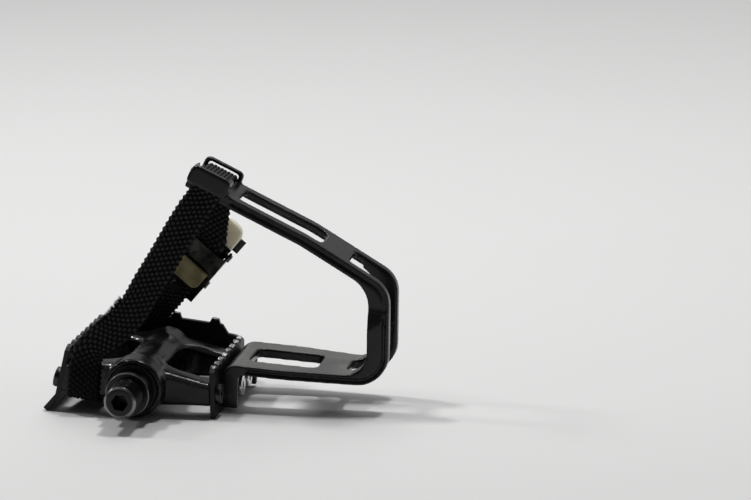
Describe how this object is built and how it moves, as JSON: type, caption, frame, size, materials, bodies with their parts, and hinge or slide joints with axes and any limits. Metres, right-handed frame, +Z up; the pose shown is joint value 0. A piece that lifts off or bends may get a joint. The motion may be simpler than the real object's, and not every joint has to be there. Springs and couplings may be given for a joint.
{
  "type": "platform pedal",
  "caption": "Bicycle platform pedal with a serrated folded cage, ball bearing spindle, moulded toe clip and a buckled webbing strap for holding the shoe.",
  "frame": {"origin": "on the spindle axis at the shoulder that seats on the crank", "axes": "+X forward towards the toe clip, +Y along the spindle away from the crank, +Z up as the pedal lies on a table"},
  "size_m": [0.1489, 0.0985, 0.1079],
  "materials": {
    "cast_body": "black satin paint on cast aluminium",
    "cage_steel": "black coated steel, worn bright on the teeth",
    "spindle_steel": "dark turned steel",
    "bright_steel": "bright plated",
    "bearing_steel": "polished",
    "nylon": "black moulded nylon, slight sheen",
    "cap_plastic": "black moulded plastic",
    "seal_rubber": "matt",
    "webbing": "coarse black woven webbing",
    "pad_leather": "cream, smooth",
    "tip_plastic": "cream, slight gloss"
  },
  "bodies": {
    "pedal": {"pedal_body": "cast_body", "cage": "cage_steel", "cage_screws": "bright_steel", "spindle_seal": "seal_rubber", "inner_cup": "bearing_steel", "outer_cup": "bearing_steel", "dust_cap": "cap_plastic", "toe_clip": "nylon", "clip_bolts": "bright_steel", "clip_washers": "bright_steel", "clip_nuts": "bright_steel", "strap": "webbing", "strap_tip": "tip_plastic", "strap_rivet": "bright_steel", "buckle_frame": "bright_steel", "roller_pin": "bright_steel", "lever_pin": "bright_steel", "lever_spring": "bright_steel", "buckle_pad": "pad_leather"},
    "axle": {"spindle": "spindle_steel", "adjusting_cone": "bearing_steel", "lock_washer": "bearing_steel", "lock_nut": "bearing_steel"},
    "inner_ball_ring": {"inner_balls": "bearing_steel"},
    "outer_ball_ring": {"outer_balls": "bearing_steel"},
    "lever": {"buckle_lever": "bright_steel"},
    "roller": {"buckle_roller": "bright_steel"}
  },
  "joints": [
    {"name": "spindle_spin", "type": "hinge", "parent": "pedal", "child": "axle", "pos_m": [0, 0, 0], "axis": [0, 1, 0], "continuous": true},
    {"name": "inner_ball_orbit", "type": "hinge", "parent": "pedal", "child": "inner_ball_ring", "pos_m": [0, 0.01475, 0], "axis": [0, 1, 0], "continuous": true},
    {"name": "outer_ball_orbit", "type": "hinge", "parent": "pedal", "child": "outer_ball_ring", "pos_m": [0, 0.0638, 0], "axis": [0, 1, 0], "continuous": true},
    {"name": "lever_pivot", "type": "hinge", "parent": "pedal", "child": "lever", "pos_m": [0.0195, 0.08031, 0.04843], "axis": [-0.7633, 0, 0.646], "range_deg": [0, 40], "stiffness_Nm_per_rad": 0.03, "springref_deg": -17.19},
    {"name": "roller_spin", "type": "hinge", "parent": "pedal", "child": "roller", "pos_m": [0.00994, 0.07623, 0.03714], "axis": [0.7633, 0, -0.646], "continuous": true}
  ],
  "couplings": [
    {"joint": "inner_ball_orbit", "follows": "spindle_spin", "ratio": 0.3966},
    {"joint": "outer_ball_orbit", "follows": "spindle_spin", "ratio": 0.3814}
  ]
}
